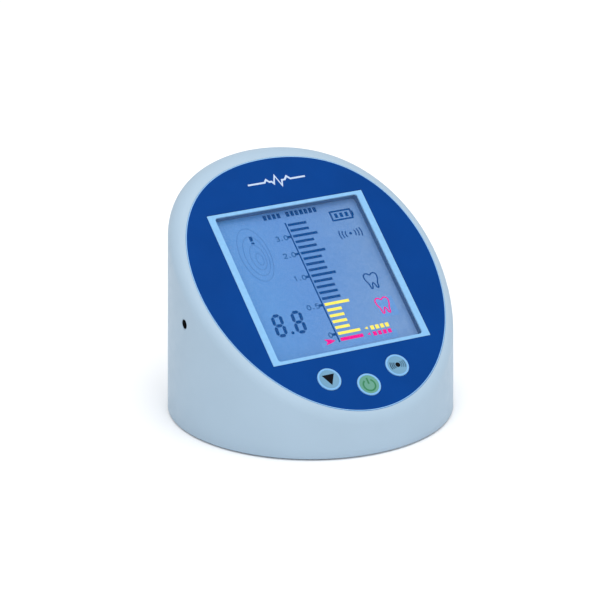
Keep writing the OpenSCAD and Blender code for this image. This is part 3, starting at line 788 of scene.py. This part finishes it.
def build_window_border():
    """The sky-blue border printed on the pane."""
    outer, inner = grown(WINDOW, -0.05 - EDGE), grown(VIEW, -0.02)
    low, high = PANE_TOP, PANE_TOP + PRINT_H
    rings = [window_ring(outer, 0.2, low), window_ring(inner, VIEW_CORNER_R, low),
             window_ring(inner, VIEW_CORNER_R, high), window_ring(outer, 0.2, high)]
    border = new_object("window_border", skin(rings, closed=True), [border_blue])
    settle(border, "case", "frame_plastic")


# ---- Display ----

# The scale's upright line, the level of its top bar, the bars' pitch and left ends, and the numbered bars
SCALE_X = -2.3
SCALE_TOP = 25.47
SCALE_PITCH = 2.633
BAR_START = -1.5
LONG_BARS = {2: "3.0", 5: "2.0", 9: "1.0", 14: "0.5", 19: "0"}

# Outline of a tooth with two roots, its middle at 0, 0
TOOTH = [(-2.0, 3.3), (-0.9, 3.2), (0, 2.6), (0.9, 3.2), (2.0, 3.3), (2.8, 2.3), (2.6, 0.5), (1.9, -1.2),
         (1.6, -3.2), (1.0, -3.3), (0.5, -1.7), (0, -1.0), (-0.5, -1.7), (-1.0, -3.3), (-1.6, -3.2),
         (-1.9, -1.2), (-2.6, 0.5), (-2.8, 2.3)]


def scale_y(row):
    return SCALE_TOP - row * SCALE_PITCH


def on_display(under=0.0):
    """Marks on the display, whose drawing lies a little right of its middle and above it."""
    return Marks(0.35, WINDOW_Y + 0.34, GLASS_TOP - under)


def row_bar(marks, row, length, thickness):
    marks.bar(BAR_START + length / 2, scale_y(row), length, thickness)


def seven_segments(marks, x, y):
    """A figure 8 of seven bars with pointed ends, leaning a little to the right."""
    width, height, thick, lean, gap = 3.3, 8.7, 1.35, 0.07, 0.2
    corners = [(sx * width / 2, sy * height / 2) for sy in (1, 0, -1) for sx in (-1, 1)]
    links = ((0, 1), (2, 3), (4, 5), (0, 2), (1, 3), (2, 4), (3, 5))
    for first, second in links:
        a, b = Vector(corners[first]), Vector(corners[second])
        along = (b - a).normalized()
        side = Vector((-along.y, along.x)) * thick / 2
        a, b = a + along * gap, b - along * gap
        tip = along * thick / 2
        outline = [a, a + tip - side, b - tip - side, b, b - tip + side, a + tip + side]
        marks.shape([(x + p.x + lean * p.y, y + p.y) for p in outline])


def figure_paths(figure):
    """The strokes of a small figure 1.3 wide and 2 high, its middle at 0, 0."""
    def bow(x, y, radius_x, radius_y, start, end):
        turns = [math.radians(start + (end - start) * i / 12) for i in range(13)]
        return [(x + radius_x * math.cos(turn), y + radius_y * math.sin(turn)) for turn in turns]
    return {
        "0": [bow(0, 0, 0.65, 1, 0, 360)],
        "1": [[(-0.35, 0.7), (0.1, 1), (0.1, -1)]],
        "2": [bow(0, 0.4, 0.6, 0.6, 165, -30) + [(-0.6, -1), (0.65, -1)]],
        "3": [bow(0, 0.5, 0.55, 0.5, 150, -90) + bow(0, -0.5, 0.6, 0.5, 90, -150)[1:]],
        "5": [[(0.55, 1), (-0.45, 1), (-0.5, 0.15)] + bow(0, -0.35, 0.6, 0.62, 130, -150)],
        ".": [[(-0.25, -0.8), (0.25, -0.8)]],
    }[figure]


def label(marks, text, x, y):
    """Small figures set side by side, ending at x."""
    step = 1.8
    wider = 1.15
    for i, figure in enumerate(reversed(text)):
        for path in figure_paths(figure):
            marks.stroke([(x - step * i + wider * px, y + py) for px, py in path], 0.42)


def blocks(marks, x, y, pattern, pitch, height):
    """A plain row of blocks, one for each star in the pattern."""
    for i, sign in enumerate(pattern):
        if sign == "*":
            marks.bar(x + (i + 0.5) * pitch, y, pitch * 0.7, height)


def sound_waves(marks, x, y, radii, width, sides=(0, 180)):
    """Short arcs on both sides of a point, a little taller the further out they are."""
    for middle in sides:
        for radius in radii:
            spread = math.degrees(math.asin(min(0.8, (0.75 + 0.25 * radius) / radius)))
            marks.arc(x, y, radius, middle - spread, middle + spread, width, steps=10)


def battery(marks, x, y):
    """A battery's outline with its knob on the right and three bars of charge."""
    width, height, line = 8.8, 4.0, 0.75
    marks.stroke([(x - width / 2, y + height / 2), (x + width / 2, y + height / 2),
                  (x + width / 2, y - height / 2), (x - width / 2, y - height / 2)], line, closed=True)
    marks.bar(x + width / 2 + 0.6, y, 0.7, height * 0.55)
    for i in (-1, 0, 1):
        marks.bar(x + 2.3 * i, y, 1.3, height * 0.52)


def pointer_left(marks, x, y, size):
    marks.shape([(x - size, y), (x + size * 0.7, y - size * 0.8), (x + size * 0.7, y + size * 0.8)])


def tooth(marks, x, y):
    """A plain tooth in outline."""
    marks.stroke([(x + p.x, y + p.y) for p in smooth_loop(TOOTH)], 0.55, closed=True)


def build_display_marks():
    """The display's segments, one piece for each colour."""
    dark = on_display()
    dark.bar(SCALE_X, -0.75, 0.6, 54.9)
    for row in range(14):
        row_bar(dark, row, 10.6 if row in LONG_BARS else 8.0, 1.16)
    for row in LONG_BARS:
        dark.bar(SCALE_X - 0.95, scale_y(row), 1.4, 1.05)
    blocks(dark, -10.6, 30.3, "**** *******", 1.98, 2.2)
    battery(dark, 22.2, 25.9)
    sound_waves(dark, 22.5, 17.1, (2.2, 3.5, 4.8), 0.5)
    dark.disc(22.5, 17.1, 0.6)
    tooth(dark, 22.1, -5.0)
    seven_segments(dark, -23.2, -16.5)
    seven_segments(dark, -14.9, -16.5)
    dark.disc(-19.1, -20.5, 0.66)
    dark.bar(-18.9, 22.3, 1.3, 2.1)
    dark.bar(-18.9, 20.3, 1.3, 0.8)
    dark.finish("display_segments", segment_blue, "case", "display_glass")

    faint = on_display()
    for row, text in LONG_BARS.items():
        label(faint, text, -4.7, scale_y(row))
    faint.finish("display_labels", segment_faint, "case", "display_glass")

    ghost = on_display(PRINT_H / 4)
    for width, turn in ((6.2, 0.0), (4.6, 0.6), (2.9, 1.4), (1.4, 2.2)):
        ghost.arc(-20.0 + turn * 0.5, 15.2 - turn, width, 0, 360, 0.25, squash=1.94, steps=64)
    ghost.finish("display_contours", segment_ghost, "case", "display_glass")

    pale = on_display(PRINT_H / 2)
    pale.bar(6.2, -29.0, 32.5, 3.6)
    pale.bar(23.2, -17.2, 7.5, 8.6)
    pale.finish("display_pale_patches", segment_pale, "case", "display_glass")

    yellow = on_display()
    for row in range(14, 20):
        row_bar(yellow, row, {14: 10.6, 19: 9.6}.get(row, 6.2), 1.22)
    pointer_left(yellow, 10.8, -24.6, 0.8)
    blocks(yellow, 12.2, -24.8, "****", 2.15, 1.8)
    yellow.finish("display_yellow", segment_yellow, "case", "display_glass")

    magenta = on_display()
    row_bar(magenta, 20, 9.8, 1.45)
    magenta.shape([(-8.1, -25.9), (-7.2, -27.15), (-3.7, -27.15), (-5.6, -26.35)])
    magenta.shape([(-8.1, -28.4), (-5.6, -27.95), (-3.7, -27.15), (-7.2, -27.15)])
    pointer_left(magenta, 10.8, -27.3, 0.8)
    blocks(magenta, 12.2, -27.5, "****", 2.15, 1.8)
    tooth(magenta, 22.1, -16.4)
    magenta.finish("display_magenta", segment_magenta, "case", "display_glass")


# ---- Buttons ----

# Level of a button's sunk middle, which its sign is printed on
DISH = 0.02


def build_key(name, centre_material, slot):
    """A round cap with a raised pale ring and a sunk middle, on its flange and stem."""
    u, v = KEYS[name]
    profile = [(AXIS_R, KEY_STEM_BOTTOM), (KEY_STEM_R, KEY_STEM_BOTTOM), (KEY_STEM_R, KEY_FLANGE_BOTTOM),
               (KEY_FLANGE_R - 0.1, KEY_FLANGE_BOTTOM), (KEY_FLANGE_R, KEY_FLANGE_BOTTOM + 0.1),
               (KEY_FLANGE_R, KEY_FLANGE_TOP), (KEY_R, KEY_FLANGE_TOP), (KEY_R, KEY_TOP - 0.22),
               (KEY_R - 0.04, KEY_TOP - 0.1), (KEY_R - 0.14, KEY_TOP - 0.02), (KEY_R - 0.28, KEY_TOP),
               (KEY_R - 0.62, KEY_TOP), (KEY_R - 0.74, KEY_TOP - 0.03), (KEY_R - 0.82, DISH + 0.02),
               (KEY_R - 0.92, DISH), (AXIS_R, DISH)]
    shape = turned(profile, on_face(u, v, 0), FACE_NORMAL, 96)
    ring_faces = 96 * (len(profile) - 3)
    sunk = [1 if face >= ring_faces and face != len(shape[1]) - 2 else 0 for face in range(len(shape[1]))]
    piece = new_object(name + "_cap", shape, [key_ring, centre_material], sunk)
    settle(piece, name + "_key", slot, name + "_button")
    return Marks(u, v, DISH)


def build_keys():
    down = build_key("down", key_grey, "button_grey")
    down.shape([(-2.4, 1.95), (0.15, -2.6), (2.7, 1.95)])
    down.finish("down_sign", sign_black, "down_key", "button_grey")

    power = build_key("power", key_green, "button_green")
    power.arc(0, -0.3, 2.4, 122, 418, 0.65, steps=36)
    power.bar(0, 1.5, 0.65, 2.6)
    power.finish("power_sign", sign_green, "power_key", "button_green")

    sound = build_key("sound", key_grey, "button_grey")
    sound.disc(0.3, 0.1, 1.0)
    sound.finish("sound_dot", sign_black, "sound_key", "button_grey")
    for name, side, material in (("left", 180, sign_grey), ("right", 0, sign_pale)):
        waves = Marks(*KEYS["sound"], DISH)
        sound_waves(waves, 0.3, 0.1, (1.6, 2.35, 3.1), 0.4, (side,))
        waves.finish("sound_waves_" + name, material, "sound_key", "button_grey")


build_housing()
build_bosses()
build_probe_jack()
build_feet()
build_panel()
build_window_frame()
build_window_pane()
build_window_border()
build_display_marks()
build_keys()


# ---- Floor, lights and camera ----

def build_floor():
    f = Finish("studio_floor")
    f.set(Specular_IOR_Level=0.1)
    white = f.ramp(f.noise(300, 2), [(0.3, linear(247, 248, 249)), (0.7, linear(250, 250, 251))])
    f.surface(white, f.spread(f.noise(40), 0.7, 0.85))
    half = 6000
    corners = [Vector((x * half, y * half, 0)) for x, y in ((1, 1), (-1, 1), (-1, -1), (1, -1))]
    new_object("studio_floor", (corners, [(0, 1, 2, 3)]), [f.material])


def add_lamp(name, position, aim, size, power, colour=(1, 1, 1)):
    data = bpy.data.lights.new(name, "AREA")
    data.shape = "DISK"
    data.size = size
    data.energy = power
    data.color = colour
    lamp = bpy.data.objects.new(name, data)
    lamp.location = position
    lamp.rotation_euler = (Vector(aim) - Vector(position)).to_track_quat("-Z", "Y").to_euler()
    bpy.context.scene.collection.objects.link(lamp)


def build_studio():
    """A pale floor, an even white sky and three soft lamps."""
    build_floor()
    world = bpy.data.worlds.new("studio")
    world.use_nodes = True
    sky = world.node_tree.nodes["Background"]
    sky.inputs["Color"].default_value = (1, 1, 1, 1)
    sky.inputs["Strength"].default_value = 0.74
    bpy.context.scene.world = world
    aim = (cad_box[0] + cad_box[1]) / 2
    add_lamp("overhead", (0.0, -0.3, 2.0), aim, 2.4, 26)
    add_lamp("key", (-0.9, -0.7, 1.1), aim, 0.9, 1.5)
    add_lamp("fill", (-0.4, -1.3, 0.7), aim, 0.9, 3)
    bpy.context.scene.view_settings.view_transform = "Standard"


def build_camera():
    """A long lens, low on the left of the front."""
    azimuth, elevation, distance = math.radians(-29.25), math.radians(19.3), 1.0495
    back = Vector((math.sin(azimuth) * math.cos(elevation), -math.cos(azimuth) * math.cos(elevation),
                   math.sin(elevation)))
    data = bpy.data.cameras.new("camera")
    data.sensor_width = 36
    data.lens = 165.9
    data.shift_x = -0.0195
    data.shift_y = -0.0664
    data.clip_start = 0.01
    data.clip_end = 50
    camera = bpy.data.objects.new("camera", data)
    camera.location = on_face(0, 0, 0) * MM + back * distance
    camera.rotation_euler = (-back).to_track_quat("-Z", "Y").to_euler()
    bpy.context.scene.collection.objects.link(camera)
    bpy.context.scene.camera = camera


build_studio()
build_camera()
